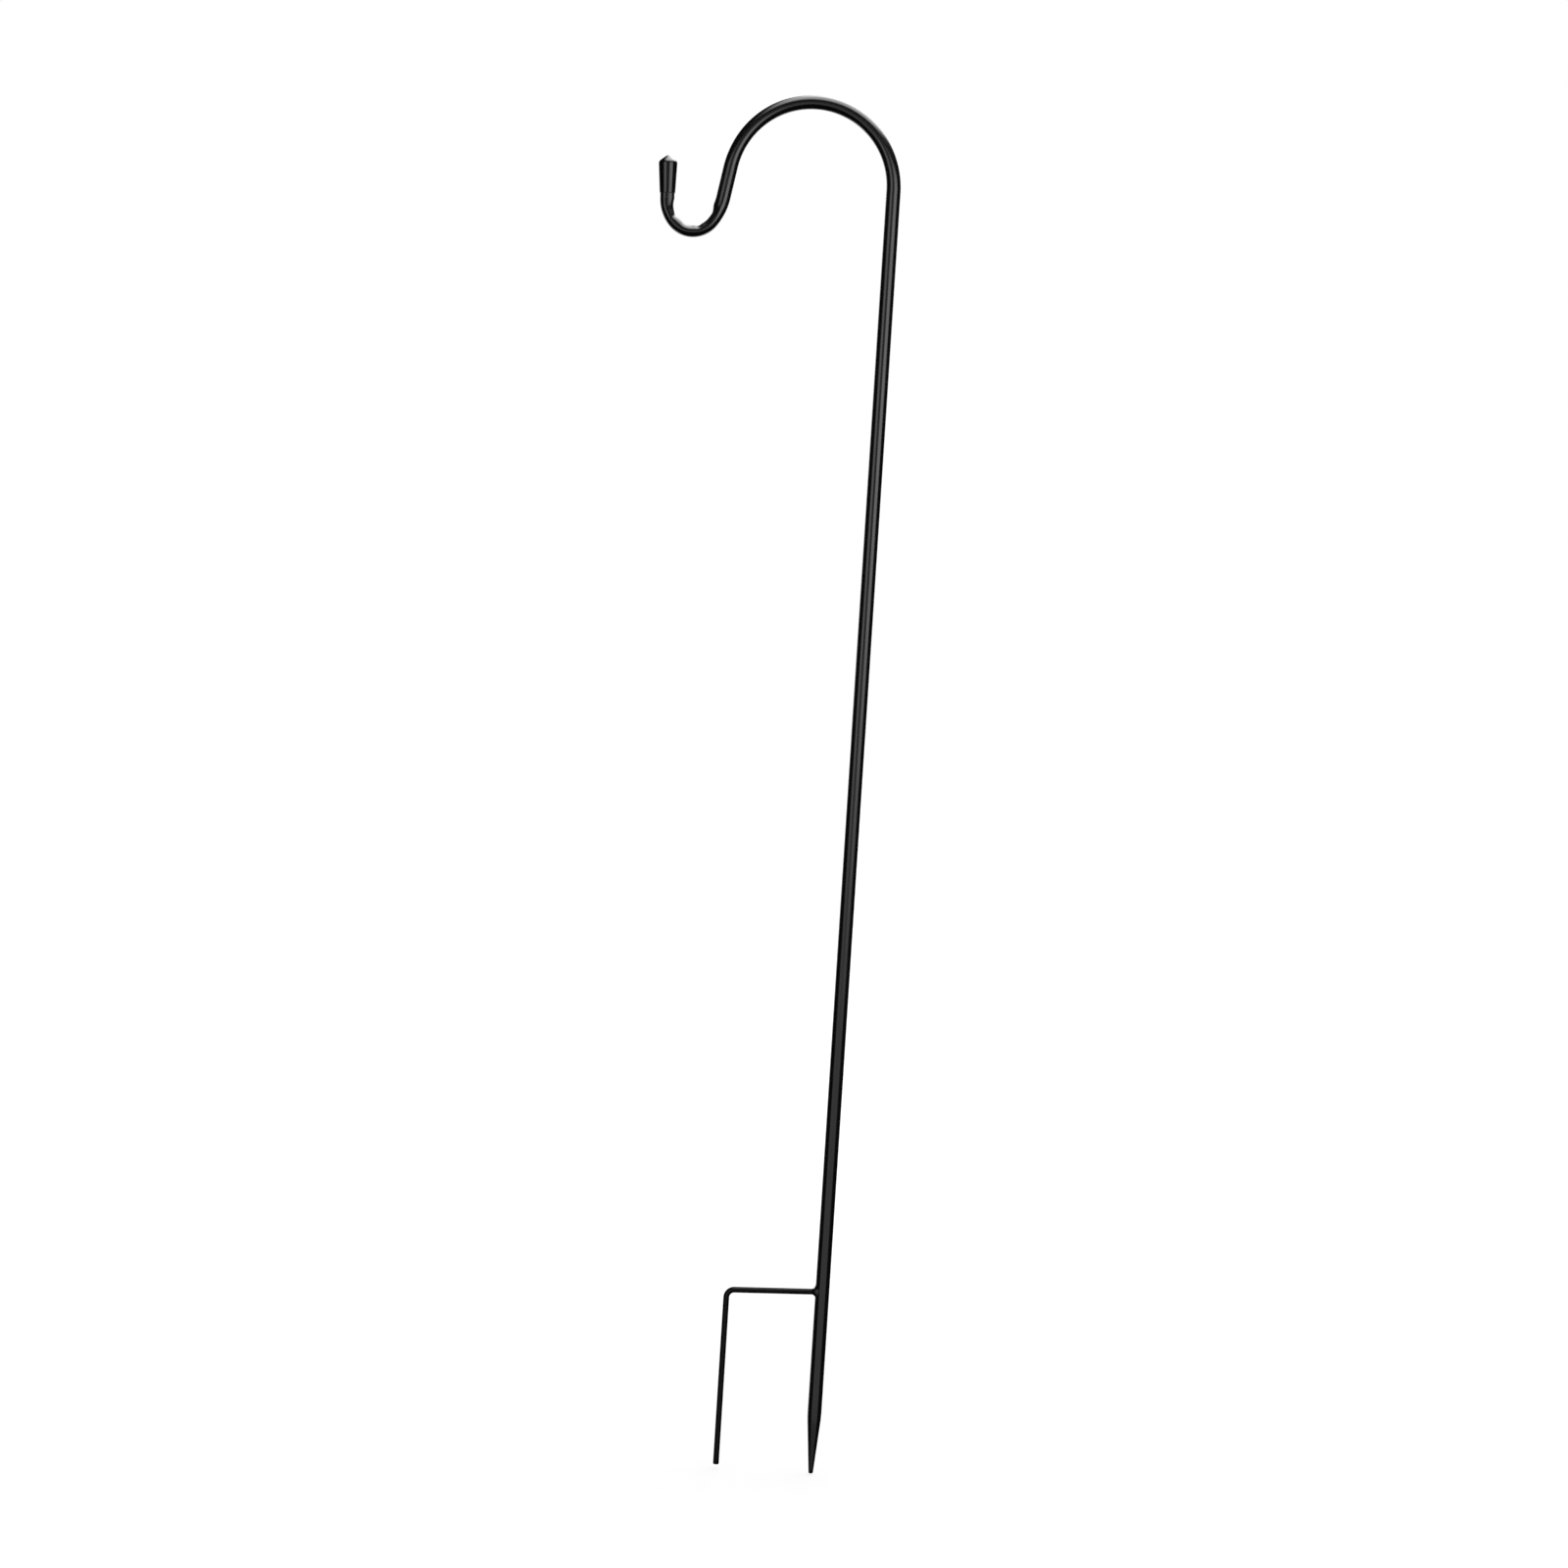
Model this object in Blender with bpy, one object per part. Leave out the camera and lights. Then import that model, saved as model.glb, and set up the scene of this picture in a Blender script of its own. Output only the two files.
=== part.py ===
"""Garden shepherd's hook: a pointed, bent steel tube with a welded step prong and a cap on its hook.

Metres, +Z up. The origin is on the shaft's axis at the soil line. The hook and the prong reach
towards -X, and the whole tube lies in the XZ plane. Headings are angles in that plane, measured
from +X towards +Z.
"""
import math
from dataclasses import dataclass

import bmesh
import bpy
from mathutils import Matrix, Vector

# Tube: its overall size and its bends, on the line that it is bent along
OVERALL_HEIGHT = 1.2005         # stake point to the top of the arch, before it goes oval
STAKE_DEPTH = 0.1565            # stake point below the soil line
TUBE_DIAMETER = 0.0125
TUBE_WALL = 0.0012
ARCH_RADIUS = 0.071
ARCH_SWEEP = math.radians(170.0)
LEG_LENGTH = 0.0273             # straight run between the arch and the hook
SHOULDER_RADIUS = 0.0505        # slack bend that eases the leg into the hook
SHOULDER_TURN = math.radians(27.0)
HOOK_RADIUS = 0.0203            # tight bend at the bottom of the hook
HOOK_TURN = math.radians(103.3)
RISE_RADIUS = 0.030             # bend that eases the hook into its upright end
RISE_TURN = math.radians(37.5)

# A bent tube goes oval: how far the section is drawn in, and over which part of a bend
ARCH_FLATTENING = 0.0005        # on the outside of the arch
HOOK_FLATTENING = 0.0024        # on the inside of the hook
ARCH_RAMP_SHARE = 0.20
SPREAD_SHARE = 0.4              # sideways growth against the flattening

# Stake point, swaged shut
POINT_LENGTH = 0.051
POINT_DIAMETER = 0.0038
POINT_ROUND = 0.0012
POINT_SHUT_LENGTH = 0.012       # solid metal below the end of the bore
BORE_END_DIAMETER = 0.0008

# Upright end: a short neck, then a shoulder down to the spigot that the cap grips
NECK_LENGTH = 0.0043
NECK_SHOULDER_LENGTH = 0.0005   # ends at the cap's mouth
SPIGOT_DIAMETER = 0.0117
CAP_GRIP = 0.0225               # length of spigot inside the cap

# Cap
CAP_MOUTH_DIAMETER = 0.0136
CAP_SHOULDER_DIAMETER = 0.0165
CAP_WALL_HEIGHT = 0.0270        # mouth to shoulder
CAP_CONE_HEIGHT = 0.0060        # shoulder to the cone's sharp apex
CAP_LIP_ROUND = 0.0003
CAP_SHOULDER_ROUND = 0.0012
CAP_NOSE_ROUND = 0.0030

# Step prong
WIRE_DIAMETER = 0.0052
PRONG_REACH = 0.084             # shaft axis to the prong's axis
PRONG_DEPTH = 0.1535            # prong's foot below the soil line
PRONG_BEND_RADIUS = 0.0070
BAR_DROOP = math.radians(2.2)   # the step bar falls away from the shaft
FOOT_CHAMFER = 0.0004

# Weld bead round the step bar's end
WELD_LENGTH = 0.0030            # along the step bar, from the shaft's surface
WELD_LEG = 0.0038               # up and down the shaft, from the wire's surface
WELD_EDGE = 0.0003              # thickness at its thin end
WELD_HOLLOW_SHARE = 0.65        # 0 is a flat fillet, 1 a quarter-round hollow one

# Fits, cuts and faceting
CLEARANCE = 0.0003              # between pieces that touch
CUT_OVERRUN = 0.010             # cutters reach this far past what they cut
WELD_DISTANCE = 0.00001         # corners closer than this are one
BEND_STEP = math.radians(6.0)
TUBE_SIDES = 24
WIRE_SIDES = 16
ARC_STEPS = 4
SMOOTH_ANGLE = math.radians(30.0)
UP = math.radians(90.0)
DOWN = math.radians(270.0)
TOWARDS_PRONG = math.radians(180.0)

# Sizes that follow from those above
TUBE_RADIUS = TUBE_DIAMETER / 2
WIRE_RADIUS = WIRE_DIAMETER / 2
SPIGOT_RADIUS = SPIGOT_DIAMETER / 2
SHAFT_LENGTH = OVERALL_HEIGHT - TUBE_RADIUS - ARCH_RADIUS - POINT_LENGTH
BAR_HEIGHT = WIRE_RADIUS + PRONG_REACH * math.tan(BAR_DROOP)


def along(heading):
    """Unit vector along a heading in the XZ plane."""
    return Vector((math.cos(heading), 0.0, math.sin(heading)))


def left_of(heading):
    """Unit vector to the left of a heading, in the XZ plane."""
    return Vector((-math.sin(heading), 0.0, math.cos(heading)))


def placement(point, heading):
    """Matrix that puts a local +Z axis at a point, along a heading."""
    side = left_of(heading)
    axis = along(heading)
    turn = Matrix((side, axis.cross(side), axis)).transposed()
    return Matrix.Translation(point) @ turn.to_4x4()


@dataclass
class Straight:
    """Straight run, with its outer radius at either end."""

    length: float
    start_radius: float
    end_radius: float

    def backwards(self):
        return Straight(self.length, self.end_radius, self.start_radius)


@dataclass
class Bend:
    """Bend, left for a positive turn. The ramps are the parts over which it goes oval."""

    radius: float
    turn: float
    inside_press: float = 0.0
    outside_press: float = 0.0
    ramp_in: float = 0.0
    ramp_out: float = 0.0

    def backwards(self):
        return Bend(
            self.radius, -self.turn, self.inside_press, self.outside_press, self.ramp_out, self.ramp_in
        )

    def ovality(self, share):
        """How oval the section is at a share of the bend, from 0 to 1."""
        level = 1.0
        if self.ramp_in:
            level = min(level, share / self.ramp_in)
        if self.ramp_out:
            level = min(level, (1 - share) / self.ramp_out)
        return 1 - (1 - level) ** 2


class BentStock:
    """Round stock grown from one end, run by run, as a bending machine feeds it.

    After it turns back at an open end, the runs make its bore, one wall inside the outer surface.
    """

    def __init__(self, point, heading, radius, sides):
        self.mesh = bmesh.new()
        self.point = Vector(point)
        self.heading = heading
        self.radius = radius
        self.wall = 0.0
        self.sides = sides
        self.squeezes = []
        bmesh.ops.create_circle(
            self.mesh, segments=sides, radius=radius, matrix=placement(self.point, heading)
        )
        self.rim = list(self.mesh.edges)
        self.start_rim = list(self.rim)

    def run(self, piece):
        """Adds one straight or bend."""
        if isinstance(piece, Straight):
            self.extrude(along(self.heading) * piece.length, piece.end_radius - self.wall)
        else:
            self.spin(piece)

    def extrude(self, step, end_radius):
        """Extrudes the open rim by a step and draws it in or out to a radius."""
        grown = bmesh.ops.extrude_edge_only(self.mesh, edges=self.rim)["geom"]
        corners = {v for v in grown if isinstance(v, bmesh.types.BMVert)}
        self.rim = [
            e for e in grown if isinstance(e, bmesh.types.BMEdge) and corners.issuperset(e.verts)
        ]
        share = end_radius / self.radius
        for corner in corners:
            corner.co = self.point + (corner.co - self.point) * share + step
        self.point = self.point + step
        self.radius = end_radius

    def spin(self, bend):
        """Spins the open rim round a centre on its left for a positive turn, or on its right."""
        centre = self.point + left_of(self.heading) * math.copysign(bend.radius, bend.turn)
        corners = {v for e in self.rim for v in e.verts}
        before = set(self.mesh.verts)
        spun = bmesh.ops.spin(
            self.mesh,
            geom=self.rim + list(corners),
            cent=centre,
            axis=Vector((0.0, -1.0, 0.0)),
            angle=bend.turn,
            steps=math.ceil(abs(bend.turn) / BEND_STEP),
        )["geom_last"]
        self.rim = [e for e in spun if isinstance(e, bmesh.types.BMEdge)]
        fresh = [v for v in self.mesh.verts if v not in before]
        self.squeezes.append((bend, centre, self.point - centre, self.radius, fresh))
        self.heading = self.heading + bend.turn
        self.point = centre - left_of(self.heading) * math.copysign(bend.radius, bend.turn)

    def turn_back(self, wall):
        """Ends the outer surface in a ring one wall wide and goes back into the bore."""
        self.extrude(Vector((0.0, 0.0, 0.0)), self.radius - wall)
        self.wall = wall
        self.heading = self.heading + math.pi

    def go_oval(self):
        """Draws the sections in on the pressed side of each bend and spreads them sideways."""
        for bend, centre, start, radius, corners in self.squeezes:
            for corner in corners:
                arm = corner.co - centre
                reach = math.hypot(arm.x, arm.z)
                across = start.x * arm.z - start.z * arm.x
                onward = start.x * arm.x + start.z * arm.z
                ovality = bend.ovality(abs(math.atan2(across, onward) / bend.turn))
                inwards = bend.radius - reach
                press = bend.inside_press if inwards > 0 else bend.outside_press
                drawn = bend.radius - inwards * (1 - ovality * press / radius)
                spread = SPREAD_SHARE * max(bend.inside_press, bend.outside_press)
                corner.co.x = centre.x + arm.x * drawn / reach
                corner.co.z = centre.z + arm.z * drawn / reach
                corner.co.y = corner.co.y * (1 + ovality * spread / radius)

    def finish(self, name, material, start_bevel=None, end_bevel=None):
        """Closes both ends, breaks their edges and makes the object."""
        self.go_oval()
        bmesh.ops.holes_fill(self.mesh, edges=list(self.mesh.edges), sides=self.sides)
        for rim, bevel in ((self.start_rim, start_bevel), (self.rim, end_bevel)):
            if bevel is not None:
                width, segments = bevel
                bmesh.ops.bevel(
                    self.mesh, geom=rim, offset=width, segments=segments, profile=0.5, affect="EDGES"
                )
        return add_object(name, self.mesh, material)


def add_object(name, mesh, material, matrix=None):
    """Turns a bmesh into a named and smoothly shaded object."""
    bmesh.ops.recalc_face_normals(mesh, faces=list(mesh.faces))
    data = bpy.data.meshes.new(name)
    mesh.to_mesh(data)
    mesh.free()
    if material is not None:
        data.materials.append(material)
    data.shade_smooth()
    data.set_sharp_from_angle(angle=SMOOTH_ANGLE)
    piece = bpy.data.objects.new(name, data)
    bpy.context.scene.collection.objects.link(piece)
    if matrix is not None:
        piece.matrix_world = matrix
    return piece


def turned_mesh(outline):
    """Turns an outline of (radius, height) points round the local Z axis."""
    mesh = bmesh.new()
    corners = [mesh.verts.new((radius, 0.0, height)) for radius, height in outline]
    for first, second in zip(corners, corners[1:]):
        mesh.edges.new((first, second))
    bmesh.ops.spin(
        mesh,
        geom=list(mesh.verts) + list(mesh.edges),
        cent=Vector((0.0, 0.0, 0.0)),
        axis=Vector((0.0, 0.0, 1.0)),
        angle=math.tau,
        steps=TUBE_SIDES,
    )
    bmesh.ops.remove_doubles(mesh, verts=list(mesh.verts), dist=WELD_DISTANCE)
    return mesh


def rounded_corner(before, corner, after, radius):
    """Points of an arc that rounds a corner of an outline."""
    corner = Vector(corner)
    back = (Vector(before) - corner).normalized()
    onward = (Vector(after) - corner).normalized()
    half = back.angle(onward) / 2
    centre = corner + (back + onward).normalized() * radius / math.sin(half)
    start = corner + back * radius / math.tan(half) - centre
    end = corner + onward * radius / math.tan(half) - centre
    span = start.angle(end)
    arc = []
    for step in range(ARC_STEPS + 1):
        share = step / ARC_STEPS
        spoke = start * math.sin((1 - share) * span) + end * math.sin(share * span)
        arc.append(centre + spoke / math.sin(span))
    return arc


def black_finish(name, colour, roughness):
    """Principled material of a black coating or plastic."""
    material = bpy.data.materials.new(name)
    material.use_nodes = True
    shader = material.node_tree.nodes["Principled BSDF"]
    shader.inputs["Base Color"].default_value = (*colour, 1.0)
    shader.inputs["Roughness"].default_value = roughness
    shader.inputs["Metallic"].default_value = 0.0
    return material


def shaft_cutter():
    """Cylinder a clearance larger than the shaft, which copes what is welded to it."""
    mesh = bmesh.new()
    bmesh.ops.create_cone(
        mesh,
        cap_ends=True,
        segments=TUBE_SIDES,
        radius1=TUBE_RADIUS + CLEARANCE,
        radius2=TUBE_RADIUS + CLEARANCE,
        depth=2 * (WIRE_RADIUS + WELD_LEG + CUT_OVERRUN),
    )
    cutter = add_object("shaft_cutter", mesh, None, placement(Vector((0.0, 0.0, BAR_HEIGHT)), UP))
    cutter.hide_render = True
    cutter.display_type = "WIRE"
    return cutter


def cope(piece, cutter):
    """Cuts a piece back to the cutter with an exact Boolean."""
    cut = piece.modifiers.new("cope", "BOOLEAN")
    cut.operation = "DIFFERENCE"
    cut.solver = "EXACT"
    cut.object = cutter


def crook_tube(material):
    """The swaged and bent tube, open at its hook end. Returns where the cap's mouth sits."""
    point = Straight(POINT_LENGTH, POINT_DIAMETER / 2, TUBE_RADIUS)
    blind_end = Straight(POINT_LENGTH - POINT_SHUT_LENGTH, TUBE_RADIUS, TUBE_WALL + BORE_END_DIAMETER / 2)
    pressed = {"inside_press": HOOK_FLATTENING}
    runs = [
        Straight(SHAFT_LENGTH, TUBE_RADIUS, TUBE_RADIUS),
        Bend(
            ARCH_RADIUS,
            ARCH_SWEEP,
            outside_press=ARCH_FLATTENING,
            ramp_in=ARCH_RAMP_SHARE,
            ramp_out=ARCH_RAMP_SHARE,
        ),
        Straight(LEG_LENGTH, TUBE_RADIUS, TUBE_RADIUS),
        Bend(SHOULDER_RADIUS, -SHOULDER_TURN, ramp_in=1.0, **pressed),
        Bend(HOOK_RADIUS, -HOOK_TURN, **pressed),
        Bend(RISE_RADIUS, -RISE_TURN, ramp_out=1.0, **pressed),
        Straight(NECK_LENGTH, TUBE_RADIUS, TUBE_RADIUS),
        Straight(NECK_SHOULDER_LENGTH, TUBE_RADIUS, SPIGOT_RADIUS),
    ]
    grip = Straight(CAP_GRIP, SPIGOT_RADIUS, SPIGOT_RADIUS)
    tube = BentStock((0.0, 0.0, -STAKE_DEPTH), UP, point.start_radius, TUBE_SIDES)
    tube.run(point)
    for piece in runs:
        tube.run(piece)
    seat = (tube.point, tube.heading)
    tube.run(grip)
    tube.turn_back(TUBE_WALL)
    tube.run(grip.backwards())
    for piece in reversed(runs):
        tube.run(piece.backwards())
    tube.run(blind_end)
    tube.finish("crook_tube", material, start_bevel=(POINT_ROUND, ARC_STEPS))
    return seat


def hook_end_cap(seat, material):
    """Flared cap with a blind bore and a blunt cone on top, over the tube's end."""
    shoulder = CAP_SHOULDER_DIAMETER / 2
    bore = SPIGOT_RADIUS + CLEARANCE
    floor = CAP_GRIP + CLEARANCE
    lip = (CAP_MOUTH_DIAMETER / 2, 0.0)
    edge = (shoulder, CAP_WALL_HEIGHT)
    apex = (0.0, CAP_WALL_HEIGHT + CAP_CONE_HEIGHT)
    slope = math.atan2(CAP_CONE_HEIGHT, shoulder)
    nose_centre = apex[1] - CAP_NOSE_ROUND / math.cos(slope)
    outline = [(0.0, floor), (bore, floor), (bore, 0.0)]
    outline += rounded_corner((bore, 0.0), lip, edge, CAP_LIP_ROUND)
    outline += rounded_corner(lip, edge, apex, CAP_SHOULDER_ROUND)
    for step in range(ARC_STEPS + 1):
        angle = slope * (1 - step / ARC_STEPS)
        height = nose_centre + CAP_NOSE_ROUND * math.cos(angle)
        outline.append((CAP_NOSE_ROUND * math.sin(angle), height))
    return add_object("hook_end_cap", turned_mesh(outline), material, placement(*seat))


def step_prong(material, cutter):
    """Wire that runs out from the shaft as a step, bends square and goes down into the soil."""
    heading = TOWARDS_PRONG + BAR_DROOP
    turn = DOWN - heading
    setback = PRONG_BEND_RADIUS * math.tan(turn / 2)
    corner_height = BAR_HEIGHT - PRONG_REACH * math.tan(BAR_DROOP)
    bar = PRONG_REACH / math.cos(BAR_DROOP) - setback
    drop = PRONG_DEPTH + corner_height - setback
    wire = BentStock((0.0, 0.0, BAR_HEIGHT), heading, WIRE_RADIUS, WIRE_SIDES)
    wire.run(Straight(bar, WIRE_RADIUS, WIRE_RADIUS))
    wire.run(Bend(PRONG_BEND_RADIUS, turn))
    wire.run(Straight(drop, WIRE_RADIUS, WIRE_RADIUS))
    prong = wire.finish("step_prong", material, end_bevel=(FOOT_CHAMFER, 1))
    cope(prong, cutter)
    return prong


def prong_weld_bead(material, cutter):
    """Hollow-faced fillet of weld all round the step bar's end, coped to the shaft."""
    bore = WIRE_RADIUS + CLEARANCE
    thin_end = TUBE_RADIUS + WELD_LENGTH
    foot = WIRE_RADIUS + WELD_LEG
    edge = bore + WELD_EDGE
    outline = [(bore, 0.0), (bore, thin_end), (edge, thin_end)]
    for step in range(1, 2 * ARC_STEPS + 1):
        share = step / (2 * ARC_STEPS)
        hollow = 1 - math.sqrt(1 - share * share)
        rise = share + (hollow - share) * WELD_HOLLOW_SHARE
        outline.append((edge + (foot - edge) * rise, thin_end - WELD_LENGTH * share))
    outline += [(foot, 0.0), (bore, 0.0)]
    mesh = turned_mesh(outline)
    matrix = placement(Vector((0.0, 0.0, BAR_HEIGHT)), TOWARDS_PRONG + BAR_DROOP)
    bead = add_object("prong_weld_bead", mesh, material, matrix)
    cope(bead, cutter)
    return bead


def main():
    """Clears the scene and makes the four pieces under one empty."""
    for leftover in list(bpy.data.objects):
        bpy.data.objects.remove(leftover)
    tube_finish = black_finish("powder_coated_tube", (0.012, 0.012, 0.013), 0.32)
    wire_finish = black_finish("powder_coated_wire", (0.009, 0.009, 0.010), 0.36)
    weld_finish = black_finish("powder_coated_weld", (0.014, 0.014, 0.015), 0.40)
    cap_finish = black_finish("moulded_vinyl", (0.010, 0.010, 0.010), 0.28)
    cutter = shaft_cutter()
    seat = crook_tube(tube_finish)
    hook_end_cap(seat, cap_finish)
    step_prong(wire_finish, cutter)
    prong_weld_bead(weld_finish, cutter)
    soil_line = bpy.data.objects.new("soil_line", None)
    bpy.context.scene.collection.objects.link(soil_line)
    bpy.context.view_layer.update()
    for piece in bpy.context.scene.objects:
        if piece.type == "MESH" and not piece.hide_render:
            piece.parent = soil_line


main()
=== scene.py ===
"""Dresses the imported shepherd's hook in its finished shapes and materials, in a white studio.

Metres, +Z up. The origin is on the shaft's axis at the soil line. The hook and the step prong reach
towards -X, and headings are angles in the XZ plane, measured from +X towards +Z.
"""
import logging
from collections.abc import Callable
from dataclasses import dataclass, field
from enum import Enum
from math import atan, atan2, ceil, copysign, cos, degrees, pi, radians, sin, sqrt, tan

import bmesh
import bpy
from bmesh.types import BMFace
from bpy.types import Material, Node, NodeSocket, NodeTree, Object
from mathutils import Matrix, Vector


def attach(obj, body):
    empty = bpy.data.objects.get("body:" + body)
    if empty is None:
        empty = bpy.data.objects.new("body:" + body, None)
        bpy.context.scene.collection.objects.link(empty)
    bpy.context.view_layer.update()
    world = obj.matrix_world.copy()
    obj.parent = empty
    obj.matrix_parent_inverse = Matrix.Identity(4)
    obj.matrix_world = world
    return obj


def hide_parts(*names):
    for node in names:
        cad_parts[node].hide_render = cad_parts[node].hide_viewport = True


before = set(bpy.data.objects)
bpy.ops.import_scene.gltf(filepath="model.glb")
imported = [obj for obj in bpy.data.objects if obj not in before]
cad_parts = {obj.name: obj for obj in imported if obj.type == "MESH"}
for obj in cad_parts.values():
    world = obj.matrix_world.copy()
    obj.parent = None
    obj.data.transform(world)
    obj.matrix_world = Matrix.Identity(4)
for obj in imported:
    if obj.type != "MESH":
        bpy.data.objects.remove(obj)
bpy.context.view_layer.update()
BODY = "root"
LOG = logging.getLogger("shepherds_hook")

# Sockets of a Mix node that mixes colours.
FIRST_COLOUR, SECOND_COLOUR, MIXED_COLOUR = 6, 7, 2
# Bound that nothing in the studio reaches, for a pattern that has one edge.
BEYOND = 9.0
# Cycles spreads a lamp's watts so that each square metre glows with a quarter of them.
WATTS_PER_GLOW = 4.0
ROUND_SIDES = 96
QUARTER = pi / 2
MERGE_DISTANCE = 1e-6
# Most that an upright face's normal rises.
UPRIGHT_RISE = 0.5
# Radius and height of each ring of a turned form.
Outline = list[tuple[float, float]]


class Heading(Enum):
    """Named headings in the plane of the bent tube, in degrees."""

    UP = 90.0
    TOWARDS_PRONG = 180.0
    DOWN = 270.0

    @property
    def angle(self) -> float:
        """The heading in radians."""
        return radians(self.value)


def linear(hex_colour: str) -> tuple[float, float, float, float]:
    """Turns an sRGB hex colour into linear RGBA.

    Args:
        hex_colour: Colour as "#rrggbb".

    Returns:
        The linear colour, opaque.
    """
    channels = []
    for start in (1, 3, 5):
        value = int(hex_colour[start : start + 2], 16) / 255
        channels.append(value / 12.92 if value <= 0.04045 else ((value + 0.055) / 1.055) ** 2.4)
    return (*channels, 1.0)


WHITE = linear("#ffffff")


def add_node(
    tree: NodeTree, kind: str, inputs: dict[str | int, object] | None = None, **settings: object
) -> Node:
    """Adds a node with its settings, values and links.

    Args:
        tree: Node tree of a material or of the world.
        kind: Blender's identifier of the node, after ShaderNode.
        inputs: Value of each input, or the output socket that feeds it.
        settings: Properties of the node itself.

    Returns:
        The new node.
    """
    node = tree.nodes.new("ShaderNode" + kind)
    for name, value in settings.items():
        setattr(node, name, value)
    for name, value in (inputs or {}).items():
        if isinstance(value, NodeSocket):
            tree.links.new(value, node.inputs[name])
        else:
            node.inputs[name].default_value = value
    return node


def along(heading: float) -> Vector:
    """Unit vector along a heading."""
    return Vector((cos(heading), 0.0, sin(heading)))


def left_of(heading: float) -> Vector:
    """Unit vector to the left of a heading."""
    return Vector((-sin(heading), 0.0, cos(heading)))


def select_faces(piece: Object, wanted: Callable[[BMFace], bool]) -> None:
    """Selects some faces of the piece in edit mode, and nothing else.

    Args:
        piece: Piece in edit mode.
        wanted: Test that picks the faces.
    """
    bpy.ops.mesh.select_all(action="DESELECT")
    bpy.ops.mesh.select_mode(type="FACE")
    mesh = bmesh.from_edit_mesh(piece.data)
    for face in mesh.faces:
        face.select_set(wanted(face))
    mesh.select_flush_mode()
    bmesh.update_edit_mesh(piece.data)


def arc(
    middle: float, level: float, radius: float, start: float, turn: float, rings: int
) -> Outline:
    """Rings on a rounded part of a turned outline.

    Args:
        middle: Distance of the arc's centre from the axis.
        level: Height of the centre.
        radius: Radius of the arc itself.
        start: Angle that it starts from, above the level.
        turn: Angle that it sweeps.
        rings: Number of rings. There is none at the start.

    Returns:
        Radius and height of each ring.
    """
    angles = [start + turn * index / rings for index in range(1, rings + 1)]
    return [(middle + radius * cos(angle), level + radius * sin(angle)) for angle in angles]


@dataclass(frozen=True)
class Section:
    """Cross-section of the stock: an ellipse, set off to the left of the line it is bent along.

    A flat of the given depth can be pressed into its front.
    """

    in_plane: float
    sideways: float
    offset: float = 0.0
    flat: float = 0.0

    @classmethod
    def round(cls, radius: float) -> "Section":
        """Circular section on the line itself."""
        return cls(radius, radius)

    def pressed(self, press: float, spread: float, flat: float = 0.0) -> "Section":
        """Section after a former has flattened its right-hand side.

        Args:
            press: How far that side is drawn in.
            spread: How far the section grows sideways.
            flat: Depth of the flat on its front.

        Returns:
            The flattened section.
        """
        half = press / 2
        return Section(self.in_plane - half, self.sideways + spread, self.offset + half, flat)


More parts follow.
